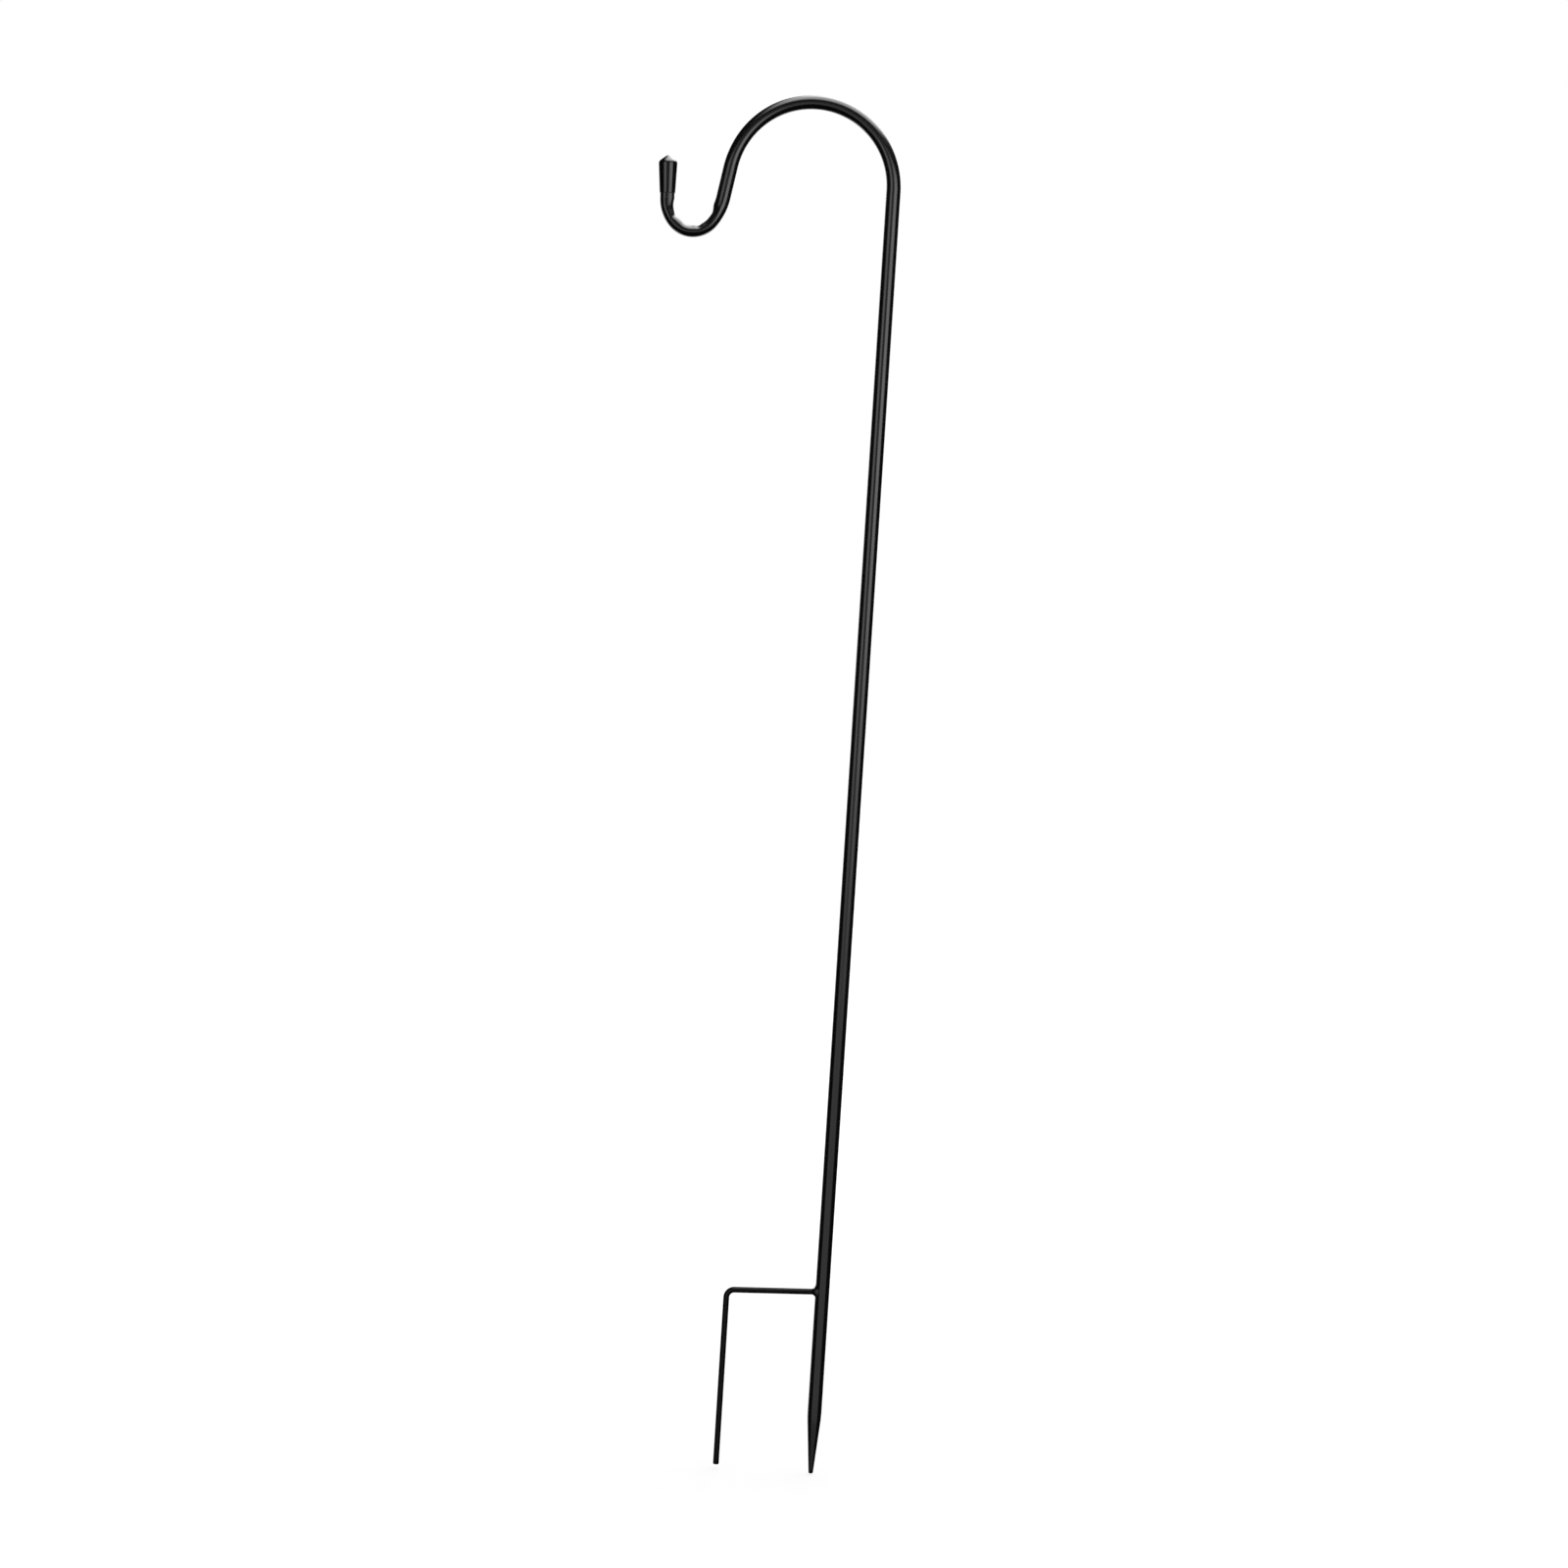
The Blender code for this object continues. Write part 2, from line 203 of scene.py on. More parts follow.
class Workpiece:
    """One mesh shaped in edit mode: a filled ring advances on a path and closes what it leaves."""

    FLAT_TURN = radians(10.0)
    FLAT_REACH = radians(50.0)

    def __init__(
        self, name: str, point: Vector, heading: float, section: Section, sides: int
    ) -> None:
        """Adds the filled ring that the piece starts from.

        Args:
            name: Name of the finished piece.
            point: Place of the ring's centre line.
            heading: Direction in which the piece grows.
            section: Section at the start, on the line.
            sides: Corners of the ring.
        """
        bpy.ops.object.select_all(action="DESELECT")
        bpy.ops.mesh.primitive_circle_add(vertices=sides, radius=1.0, fill_type="NGON")
        self.body = bpy.context.object
        self.body.name = name
        self.body.data.name = name
        self.point = point.copy()
        self.heading = heading
        self.section = section
        across = Matrix.Diagonal((section.in_plane, section.sideways, 1.0, 1.0))
        self.body.matrix_world = Matrix.Translation(point) @ self.axes().to_4x4() @ across
        bpy.ops.object.transform_apply(location=True, rotation=True, scale=True)
        bpy.ops.object.mode_set(mode="EDIT")
        bpy.ops.mesh.select_all(action="SELECT")

    def axes(self) -> Matrix:
        """Rotation whose X is left of the heading and whose Z is along it."""
        side, onward = left_of(self.heading), along(self.heading)
        return Matrix((side, onward.cross(side), onward)).transposed()

    def reshape(self, section: Section) -> None:
        """Moves, scales and flattens the selected ring.

        Args:
            section: Section that it gets.
        """
        shift = section.offset - self.section.offset
        if shift:
            bpy.ops.transform.translate(value=left_of(self.heading) * shift)
        in_plane = section.in_plane / self.section.in_plane
        sideways = section.sideways / self.section.sideways
        if (in_plane, sideways) != (1.0, 1.0):
            bpy.ops.transform.resize(
                value=(in_plane, sideways, 1.0),
                orient_type="LOCAL",
                orient_matrix=self.axes(),
                orient_matrix_type="LOCAL",
                center_override=self.point + left_of(self.heading) * section.offset,
            )
        if section.flat > self.section.flat:
            self.press_flat(section, section.flat - self.section.flat)
        self.section = section

    def press_flat(self, section: Section, depth: float) -> None:
        """Presses the selected ring in at its front, a little to its right-hand side.

        Args:
            section: Section of the ring.
            depth: How far it goes in.
        """
        side = left_of(self.heading)
        facing = Vector((0.0, -cos(self.FLAT_TURN), 0.0)) - side * sin(self.FLAT_TURN)
        centre = self.point + side * section.offset
        mesh = bmesh.from_edit_mesh(self.body.data)
        for vert in mesh.verts:
            if vert.select:
                away = min(1.0, (vert.co - centre).angle(facing) / self.FLAT_REACH)
                vert.co -= facing * (depth * cos(away * QUARTER) ** 2)
        bmesh.update_edit_mesh(self.body.data)

    def advance(self, length: float, section: Section | None = None) -> None:
        """Extrudes the ring straight on.

        Args:
            length: Distance along the heading.
            section: Section that it reaches, or None to keep the present one.
        """
        step = along(self.heading) * length
        bpy.ops.mesh.extrude_region_move(TRANSFORM_OT_translate={"value": step})
        self.point += step
        self.reshape(section or self.section)

    def run(self, length: float, rings: int) -> None:
        """Runs straight on at the present section.

        Args:
            length: Whole distance along the heading.
            rings: Number of equal steps.
        """
        for _ in range(rings):
            self.advance(length / rings)

    def turn_outline(self, outline: Outline) -> None:
        """Follows the outline of a turned form.

        Args:
            outline: Radius of each ring and its distance from the first, in order.
        """
        reached = 0.0
        for radius, distance in outline:
            self.advance(distance - reached, Section.round(radius))
            reached = distance

    def bend(
        self,
        radius: float,
        turn: float,
        step: float,
        section_at: Callable[[float], Section] | None = None,
    ) -> None:
        """Spins the ring round a bend in small steps.

        Args:
            radius: Radius of the line that the stock is bent along.
            turn: Angle of the bend, positive to the left.
            step: Largest angle between two rings.
            section_at: Section for a share of the bend from 0 to 1, or None to keep this one.
        """
        count = ceil(abs(turn) / step)
        arm = copysign(radius, turn)
        centre = self.point + left_of(self.heading) * arm
        for index in range(1, count + 1):
            bpy.ops.mesh.spin(steps=1, angle=-turn / count, center=centre, axis=(0.0, -1.0, 0.0))
            self.heading += turn / count
            self.point = centre - left_of(self.heading) * arm
            if section_at is not None:
                self.reshape(section_at(index / count))

    def round_rim(self, width: float, segments: int) -> None:
        """Bevels the edge of the selected face."""
        bpy.ops.mesh.bevel(offset=width, segments=segments, affect="EDGES")

    def finish(self, smooth_angle: float) -> Object:
        """Turns all faces outwards, leaves edit mode and shades the piece.

        Args:
            smooth_angle: Steepest angle between faces that is still shaded smooth.

        Returns:
            The finished object, at the origin.
        """
        bpy.ops.mesh.select_all(action="SELECT")
        bpy.ops.mesh.remove_doubles(threshold=MERGE_DISTANCE)
        bpy.ops.mesh.normals_make_consistent(inside=False)
        bpy.ops.object.mode_set(mode="OBJECT")
        bpy.ops.object.shade_smooth_by_angle(angle=smooth_angle)
        return self.body


@dataclass(frozen=True)
class Clouding:
    """Cloudy pattern with a real pitch in metres, and its depth where it is a relief."""

    pitch: float
    detail: float
    roughness: float = 0.5
    depth: float = 0.0

    def inputs(self, place: NodeSocket) -> dict[str, object]:
        """Inputs of the noise that draws it.

        Args:
            place: Socket of the coordinates that it is laid out on.

        Returns:
            Value or socket of each input.
        """
        shape = {"Scale": 1 / self.pitch, "Detail": self.detail, "Roughness": self.roughness}
        return {"Vector": place, **shape}


@dataclass(frozen=True)
class BlackFinish:
    """Black finish under a clear skin, whose shade and gloss shift and whose surface is uneven.

    One clouding shifts it. Shades and gloss are given for the two ends of the clouding's span, and
    gloss is the roughness there. The reliefs lie one on another.
    """

    name: str
    clouding: Clouding
    span: tuple[float, float]
    shades: tuple[str, str]
    gloss: tuple[float, float]
    ior: float
    skin_weight: float
    skin_roughness: float
    reliefs: tuple[Clouding, ...]

    def make(self) -> Material:
        """Builds the material.

        Returns:
            The finish, laid out on Object coordinates.
        """
        material = bpy.data.materials.new(self.name)
        material.use_nodes = True
        tree = material.node_tree
        shader = tree.nodes["Principled BSDF"].inputs
        shader["IOR"].default_value = self.ior
        shader["Coat Weight"].default_value = self.skin_weight
        shader["Coat Roughness"].default_value = self.skin_roughness
        place = add_node(tree, "TexCoord").outputs["Object"]
        cloud = add_node(tree, "TexNoise", self.clouding.inputs(place)).outputs["Fac"]
        low, high = (linear(shade) for shade in self.shades)
        mix = {"Factor": cloud, FIRST_COLOUR: low, SECOND_COLOUR: high}
        shade = add_node(tree, "Mix", mix, data_type="RGBA").outputs[MIXED_COLOUR]
        tree.links.new(shade, shader["Base Color"])
        ends = dict(zip(("From Min", "From Max", "To Min", "To Max"), self.span + self.gloss))
        gloss = add_node(tree, "MapRange", {"Value": cloud, **ends}).outputs["Result"]
        tree.links.new(gloss, shader["Roughness"])
        surface = None
        for relief in self.reliefs:
            height = add_node(tree, "TexNoise", relief.inputs(place)).outputs["Fac"]
            bump = {"Height": height, "Strength": 1.0, "Distance": relief.depth}
            if surface is not None:
                bump["Normal"] = surface
            surface = add_node(tree, "Bump", bump).outputs["Normal"]
        tree.links.new(surface, shader["Normal"])
        tree.links.new(surface, shader["Coat Normal"])
        return material


@dataclass(frozen=True)
class PowderCoat(BlackFinish):
    """Black polyester powder, sprayed dry and baked on steel.

    It flows out almost level, so the eye sees a deep black with long soft lights, which a faint
    orange peel and small differences in how far it flowed keep from looking machined.
    """

    clouding: Clouding = Clouding(0.034, 3.0, 0.55)
    span: tuple[float, float] = (0.3, 0.7)
    shades: tuple[str, str] = ("#121213", "#0d0d0e")
    gloss: tuple[float, float] = (0.20, 0.31)
    ior: float = 1.55
    skin_weight: float = 0.8
    skin_roughness: float = 0.13
    # Real peel is 1 to 2 mm apart. It is drawn coarser, so that it shows.
    reliefs: tuple[Clouding, ...] = (Clouding(0.0032, 1.5, 0.4, depth=0.000012),)


@dataclass(frozen=True)
class MouldedVinyl(BlackFinish):
    """Black flexible PVC, injection moulded in a polished mould.

    The eye sees a wetter gloss than the powder coat beside it, with narrow clean lights, slightly
    uneven where the soft wall sank as it cooled.
    """

    clouding: Clouding = Clouding(0.009, 2.0)
    span: tuple[float, float] = (0.0, 1.0)
    shades: tuple[str, str] = ("#0a0a0b", "#121213")
    gloss: tuple[float, float] = (0.13, 0.20)
    ior: float = 1.53
    skin_weight: float = 0.6
    skin_roughness: float = 0.08
    reliefs: tuple[Clouding, ...] = (Clouding(0.009, 2.0, depth=0.00002),)


def dress(piece: Object, material: Material, node: str) -> None:
    """Gives a finished piece its material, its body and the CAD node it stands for.

    Args:
        piece: Finished piece, at the origin.
        material: Its finish.
        node: CAD node that it replaces.
    """
    piece.data.materials.clear()
    piece.data.materials.append(material)
    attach(piece, BODY)
    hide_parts(node)
    LOG.info("%s stands for %s, %d faces", piece.name, node, len(piece.data.polygons))


@dataclass(frozen=True)
class Wrinkle:
    """Crease or bulge that bending left in the hook's inner wall.

    The station is measured along the tube from the end of the straight leg. A positive depth is
    drawn in, a negative one stands out.
    """

    station: float
    reach: float
    depth: float

    def at(self, station: float) -> float:
        """Depth of the wrinkle at a station, which fades to nothing at its reach."""
        away = min(1.0, abs(station - self.station) / self.reach)
        return self.depth * cos(away * QUARTER) ** 2


@dataclass
class CrookTube:
    """Steel tube, swaged shut to a point, bent over into the arch and back up into the hook."""

    height: float = 1.2005
    stake_depth: float = 0.1565
    radius: float = 0.00625
    wall: float = 0.0012
    arch_radius: float = 0.071
    arch_sweep: float = radians(170.0)
    arch_press: float = 0.00056
    arch_ramp_share: float = 0.20
    leg_length: float = 0.0273
    shoulder_radius: float = 0.0505
    shoulder_turn: float = radians(27.0)
    hook_radius: float = 0.0203
    hook_turn: float = radians(103.3)
    hook_press: float = 0.0024
    press_start: float = 0.008
    press_full: float = 0.018
    rise_radius: float = 0.030
    rise_turn: float = radians(37.5)
    jaw_flat: float = 0.0007
    flat_start: float = 0.064
    flat_full: float = 0.074
    wrinkles: tuple[Wrinkle, ...] = (
        Wrinkle(0.0358, 0.0045, 0.0008),
        Wrinkle(0.0562, 0.0075, -0.0009),
        Wrinkle(0.0638, 0.0040, 0.0006),
    )
    spread_share: float = 0.4
    point_length: float = 0.051
    point_radius: float = 0.0020
    point_round: float = 0.0010
    swage_round: float = 0.006
    neck_length: float = 0.0048
    spigot_radius: float = 0.00585
    cap_grip: float = 0.0225
    hidden_length: float = 0.0005
    sides: int = 64
    nose_rings: int = 6
    taper_rings: int = 12
    swage_rings: int = 6
    shaft_rings: int = 40
    leg_rings: int = 4
    neck_rings: int = 2
    bend_step: float = radians(2.0)
    smooth_angle: float = radians(40.0)
    seat_point: Vector = field(default_factory=Vector)
    seat_heading: float = 0.0

    @staticmethod
    def eased(level: float) -> float:
        """Share of the full press that a former gives at a level of its run-in, quick at first."""
        level = min(1.0, max(0.0, level))
        return 1 - (1 - level) ** 2

    @staticmethod
    def ramp(station: float, start: float, full: float) -> float:
        """Smooth ramp that leaves 0 at one station and reaches 1 at another."""
        level = min(1.0, max(0.0, (station - start) / (full - start)))
        return level**2 * (3 - 2 * level)

    def arch_section(self, share: float) -> Section:
        """Section of the arch, drawn in on its outer, right-hand side.

        Args:
            share: Share of the arch, from 0 to 1.

        Returns:
            The section there.
        """
        press = self.arch_press * self.eased(min(share, 1 - share) / self.arch_ramp_share)
        return Section.round(self.radius).pressed(press, press * self.spread_share)

    def hook_bends(self) -> tuple[tuple[float, float], ...]:
        """Lists the hook's three bends.

        Returns:
            Radius and turn of each, in order.
        """
        return (
            (self.shoulder_radius, self.shoulder_turn),
            (self.hook_radius, self.hook_turn),
            (self.rise_radius, self.rise_turn),
        )

    def hook_section(self, station: float) -> Section:
        """Section of the hook, flattened and wrinkled on its inner, right-hand side.

        Args:
            station: Length along the tube from the end of the straight leg.

        Returns:
            The section there.
        """
        left = sum(radius * turn for radius, turn in self.hook_bends()) - station
        press = self.hook_press * self.ramp(station, self.press_start, self.press_full)
        press *= self.eased(left / (self.rise_radius * self.rise_turn))
        drawn_in = press + sum(wrinkle.at(station) for wrinkle in self.wrinkles)
        flat = self.jaw_flat * self.ramp(station, self.flat_start, self.flat_full)
        return Section.round(self.radius).pressed(drawn_in, press * self.spread_share, flat)

    def build(self) -> Object:
        """Models the tube from its point to the end inside the cap.

        Returns:
            The tube. The cap's seat is kept in seat_point and seat_heading.
        """
        foot = Vector((0.0, 0.0, -self.stake_depth))
        tip = Section.round(self.point_radius - self.point_round)
        tube = Workpiece("bent_crook_tube", foot, Heading.UP.angle, tip, self.sides)
        tube.turn_outline(self.point_outline())
        bent = self.radius + self.arch_radius
        tube.run(self.height - bent - self.point_length - self.swage_round, self.shaft_rings)
        tube.bend(self.arch_radius, self.arch_sweep, self.bend_step, self.arch_section)
        tube.run(self.leg_length, self.leg_rings)
        start = 0.0
        for radius, turn in self.hook_bends():
            length = radius * turn
            tube.bend(
                radius,
                -turn,
                self.bend_step,
                lambda share, start=start, length=length: self.hook_section(start + share * length),
            )
            start += length
        self.draw_down_neck(tube)
        return tube.finish(self.smooth_angle)

    def point_outline(self) -> Outline:
        """Outline of the point: a rounded nose, a straight taper and an eased end.

        Returns:
            Radius and height of each ring above the first.
        """
        slope = (self.radius - self.point_radius) / self.point_length
        middle = self.point_radius - self.point_round
        nose = arc(middle, self.point_round, self.point_round, -QUARTER, QUARTER, self.nose_rings)
        outline = [(radius + slope * height, height) for radius, height in nose]
        swage_start = self.point_length - self.swage_round
        taper = swage_start - self.point_round
        for index in range(1, self.taper_rings + 1):
            height = self.point_round + taper * index / self.taper_rings
            outline.append((self.point_radius + slope * height, height))
        for index in range(1, self.swage_rings + 1):
            share = index / self.swage_rings
            radius = self.radius - slope * self.swage_round * (1 - share) ** 2
            outline.append((radius, swage_start + 2 * self.swage_round * share))
        return outline

    def draw_down_neck(self, tube: Workpiece) -> None:
        """Runs on into the cap, draws the end down to the spigot and opens its bore.

        Args:
            tube: Tube, bent as far as the end of the hook.
        """
        tube.run(self.neck_length, self.neck_rings)
        self.seat_point = tube.point.copy()
        self.seat_heading = tube.heading
        tube.advance(self.hidden_length)
        tube.advance(self.hidden_length, Section.round(self.spigot_radius))
        tube.advance(self.cap_grip - 2 * self.hidden_length)
        bpy.ops.mesh.inset(thickness=self.wall)
        bpy.ops.mesh.extrude_region_move(
            TRANSFORM_OT_translate={"value": along(tube.heading) * -self.cap_grip}
        )


@dataclass
class StepProng:
    """Wire that runs out from the shaft as a step, turns down and goes into the soil."""

    radius: float = 0.0026
    reach: float = 0.084
    depth: float = 0.1535
    bend_radius: float = 0.0070
    droop: float = radians(2.2)
    start: float = 0.00655
    foot_chamfer: float = 0.0006
    sides: int = 40
    bar_rings: int = 12
    prong_rings: int = 20
    foot_rings: int = 4
    bend_step: float = radians(4.0)
    smooth_angle: float = radians(40.0)

    @property
    def bar_height(self) -> float:
        """Height of the bar's axis where it meets the shaft's axis."""
        return self.radius + self.reach * tan(self.droop)

    def build(self) -> Object:
        """Models the wire from inside the weld to its cut foot.

        Returns:
            The prong.
        """
        heading = Heading.TOWARDS_PRONG.angle + self.droop
        turn = Heading.DOWN.angle - heading
        setback = self.bend_radius * tan(turn / 2)
        origin = Vector((0.0, 0.0, self.bar_height)) + along(heading) * self.start
        wire = Workpiece("bent_step_prong", origin, heading, Section.round(self.radius), self.sides)
        wire.run(self.reach / cos(self.droop) - setback - self.start, self.bar_rings)
        wire.bend(self.bend_radius, turn, self.bend_step)
        wire.run(self.depth + self.radius - setback, self.prong_rings)
        wire.round_rim(self.foot_chamfer, self.foot_rings)
        return wire.finish(self.smooth_angle)


@dataclass(frozen=True)
class Waver:
    """How something wavers a whole number of times round the weld."""

    times: int
    size: float
    phase: float

    def at(self, bearing: float) -> float:
        """Waver at a bearing."""
        return self.size * sin(self.times * bearing + self.phase)


@dataclass
class WeldBead:
    """Fillet of weld all round the bar's end, saddled on the shaft and rippled as the pool froze.

    Its ripples drift round it and lean over, and low lumps lie under them.
    """

    shaft_radius: float = 0.00625
    wire_radius: float = 0.0026
    bar_height: float = 0.0
    droop: float = 0.0
    reach_on_wire: float = 0.0031
    reach_on_shaft: float = 0.0034
    reach_round_shaft: float = 0.0040
    unevenness: tuple[Waver, ...] = (Waver(2, 0.07, 0.8), Waver(5, 0.05, 2.1))
    tuck: float = 0.00004
    hollow_share: float = 0.45
    bulge_share: float = 0.20
    ripples: int = 21
    ripple: float = 0.000035
    ripple_lean: float = 2.4
    ripple_drift: Waver = Waver(3, 0.5, 0.0)
    lumps: Waver = Waver(4, 0.00012, 1.3)
    lump_lean: float = 2.6
    lump_start: float = 0.4
    rings: int = 20
    sides: int = 240
    # Only the root lies past this share of the fillet.
    past_toe: float = 1.001
    smooth_angle: float = radians(60.0)

    def build(self) -> Object:
        """Models the fillet as rings that leave the wire, then seats them on the shaft.

        Its last ring is the root, out of sight inside the tube.

        Returns:
            The bead.
        """
        heading = Heading.TOWARDS_PRONG.angle + self.droop + pi
        axis = Vector((0.0, 0.0, self.bar_height))
        origin = axis - along(heading) * (self.shaft_radius + self.reach_on_wire)
        edge = Section.round(self.wire_radius - self.tuck)
        bead = Workpiece("rippled_weld_bead", origin, heading, edge, self.sides)
        for index in range(1, self.rings + 1):
            wider = self.wire_radius + self.reach_on_shaft * index / self.rings
            bead.advance(self.reach_on_wire / self.rings, Section.round(wider))
        bead.advance(self.shaft_radius / 2, Section.round(self.wire_radius))
        self.seat_rings(bead, axis, heading)
        return bead.finish(self.smooth_angle)

    def seat_rings(self, bead: Workpiece, axis: Vector, heading: float) -> None:
        """Moves each ring between the wire and the shaft to the fillet's own surface.

        Args:
            bead: Bead, with its rings still round and evenly spaced.
            axis: Point where the wire's axis meets the shaft's.
            heading: Direction from the wire into the shaft.
        """
        onward, up = along(heading), left_of(heading)
        aside = onward.cross(up)
        start = self.shaft_radius + self.reach_on_wire
        mesh = bmesh.from_edit_mesh(bead.body.data)
        for vert in mesh.verts:
            arm = vert.co - axis
            share = (arm.dot(onward) + start) / self.reach_on_wire
            if share < self.past_toe:
                bearing = atan2(arm.dot(aside), arm.dot(up))
                vert.co = axis + self.surface(bearing, share, onward, up, aside)
        bmesh.update_edit_mesh(bead.body.data)

    def surface(
        self, bearing: float, share: float, onward: Vector, up: Vector, aside: Vector
    ) -> Vector:
        """Point of the fillet, relative to where the two axes meet.

        Args:
            bearing: Angle round the wire, from its top.
            share: 0 where the fillet leaves the wire, 1 at its toe on the shaft.
            onward: Direction of the wire's axis into the shaft.
            up: Direction square to it in the plane of the bent tube.
            aside: Direction square to both.

        Returns:
            The point.
        """
        uneven = 1 + sum(waver.at(bearing) for waver in self.unevenness)
        sideways = sin(bearing) ** 2
        toe = self.reach_on_shaft + (self.reach_round_shaft - self.reach_on_shaft) * sideways
        hollow = self.hollow_share - (self.hollow_share + self.bulge_share) * sideways
        reach = self.wire_radius + toe * uneven
        ring = up * cos(bearing) + aside * sin(bearing)
        on_wire = ring * (self.wire_radius - self.tuck)
        on_wire -= onward * (self.shaft_radius + self.reach_on_wire * uneven)
        wrap = reach * sin(bearing) / self.shaft_radius
        skin = self.shaft_radius - self.tuck
        on_shaft = aside * (skin * sin(wrap)) - onward * (skin * cos(wrap))
        on_shaft += up * (reach * cos(bearing))
        inset = sqrt(self.shaft_radius**2 - (self.wire_radius * sin(bearing)) ** 2)
        corner = ring * self.wire_radius - onward * inset
        middle = (on_wire + on_shaft) / 2
        pull = middle + (corner - middle) * 2 * hollow
        point = on_wire * (1 - share) ** 2 + pull * 2 * share * (1 - share) + on_shaft * share**2
        outward = (middle - corner).normalized()
        bow = bearing * self.ripples + self.ripple_lean * share + self.ripple_drift.at(bearing)
        lump = self.lumps.at(bearing) * sin(self.lump_lean * share + self.lump_start)
        rise = self.ripple * sin(bow) + lump
        return point + outward * (4 * share * (1 - share) * rise)


@dataclass
class EndCap:
    """Flared cap with a blunt conical top, pushed over the hook's end."""

    seat_point: Vector = field(default_factory=Vector)
    seat_heading: float = 0.0
    mouth_radius: float = 0.0068
    shoulder_radius: float = 0.00825
    wall_height: float = 0.0270
    cone_height: float = 0.0060
    bore_radius: float = 0.00588
    bore_depth: float = 0.0226
    lip_round: float = 0.0004
    # Share of the lip's height that counts as mouth, which takes in its first band.
    mouth_share: float = 0.05
    shoulder_round: float = 0.0032
    nose_round: float = 0.0030
    sides: int = 96
    lip_rings: int = 6
    wall_rings: int = 16
    shoulder_rings: int = 8
    nose_rings: int = 9
    smooth_angle: float = radians(50.0)

    def build(self) -> Object:
        """Models the cap from its mouth up, then opens its bore.

        Returns:
            The cap.
        """
        lip = Section.round(self.mouth_radius - self.lip_round)
        cap = Workpiece("flared_end_cap", self.seat_point, self.seat_heading, lip, self.sides)
        cap.turn_outline(self.outline())
        self.open_bore(cap)
        return cap.finish(self.smooth_angle)

    def outline(self) -> Outline:
        """Outline of the cap: lip, flared wall, rounded shoulder, cone and rounded nose.

        Returns:
            Radius and height of each ring above the first.
        """
        flare = (self.shoulder_radius - self.mouth_radius) / self.wall_height
        lean = atan(flare)
        slope = atan2(self.cone_height, self.shoulder_radius)
        sweep = QUARTER - slope + lean
        wall_top = self.wall_height - self.shoulder_round * tan(sweep / 2)
        lip = self.lip_round
        outline = arc(self.mouth_radius - lip, lip, lip, -QUARTER, QUARTER, self.lip_rings)
        for index in range(1, self.wall_rings + 1):
            height = lip + (wall_top - lip) * index / self.wall_rings
            outline.append((self.mouth_radius + flare * height, height))
        middle = self.mouth_radius + flare * wall_top - self.shoulder_round * cos(lean)
        level = wall_top + self.shoulder_round * sin(lean)
        outline += arc(middle, level, self.shoulder_round, -lean, sweep, self.shoulder_rings)
        nose = self.nose_round
        level = self.wall_height + self.cone_height - nose / cos(slope)
        outline.append((nose * sin(slope), level + nose * cos(slope)))
        # The ring at the very top would be a point. The one before it closes the nose.
        outline += arc(0.0, level, nose, QUARTER - slope, slope, self.nose_rings)[:-1]
        return outline

    def open_bore(self, cap: Workpiece) -> None:
        """Insets the mouth and pushes its floor up to make the bore that grips the tube.

        Args:
            cap: Cap, solid from its mouth to its nose.
        """
        axis = along(self.seat_heading)

        def mouth(face: BMFace) -> bool:
            """Whether a face is in the cap's mouth."""
            height = (face.calc_center_median() - self.seat_point).dot(axis)
            return abs(height) < self.mouth_share * self.lip_round

        select_faces(cap.body, mouth)
        bpy.ops.mesh.inset(thickness=self.mouth_radius - self.lip_round - self.bore_radius)
        bpy.ops.mesh.extrude_region_move(TRANSFORM_OT_translate={"value": axis * self.bore_depth})


@dataclass(frozen=True)
class Lamp:
    """Soft box that lights what is matt on the object. The gloss sees the scrims."""

    name: str
    place: tuple[float, float, float]
    width: float
    height: float
    glow: float

    def hang(self, target: Vector) -> None:
        """Adds the lamp, aimed at a point.

        Args:
            target: Point on the object that it is aimed at.
        """
        lamp = bpy.data.lights.new(self.name, "AREA")
        lamp.shape = "RECTANGLE"
        lamp.size = self.width
        lamp.size_y = self.height
        lamp.energy = WATTS_PER_GLOW * self.glow * self.width * self.height
        box = bpy.data.objects.new(self.name, lamp)
        box.location = self.place
        box.rotation_mode = "QUATERNION"
        box.rotation_quaternion = (target - box.location).to_track_quat("-Z", "Y")
        box.visible_camera = False
        box.visible_glossy = False
        bpy.context.scene.collection.objects.link(box)


@dataclass(frozen=True)
class Scrim:
    """Lit field on the wall of the tent, bounded in degrees round from the front and in height."""

    left: float
    right: float
    bottom: float
    top: float
    glow: float


def window(
    tree: NodeTree,
    value: NodeSocket,
    low: float,
    high: float,
    soft: float,
    within: NodeSocket | float,
) -> NodeSocket:
    """Makes a pattern that shows another one between two values and fades to 0 outside them.

    Args:
        tree: Node tree that it is made in.
        value: Socket of the value.
        low: Lower bound, where one half shows.
        high: Upper bound, where one half shows.
        soft: How far the fade reaches to either side of a bound.
        within: Pattern or plain level that shows between the bounds.

    Returns:
        The pattern's socket.
    """
    for bound, side in ((low, 1), (high, -1)):
        fade = {"Value": value, "From Min": bound - side * soft, "From Max": bound + side * soft}
        edge = add_node(tree, "MapRange", fade, interpolation_type="SMOOTHSTEP").outputs["Result"]
        within = add_node(tree, "Math", {0: edge, 1: within}, operation="MULTIPLY").outputs[0]
    return within


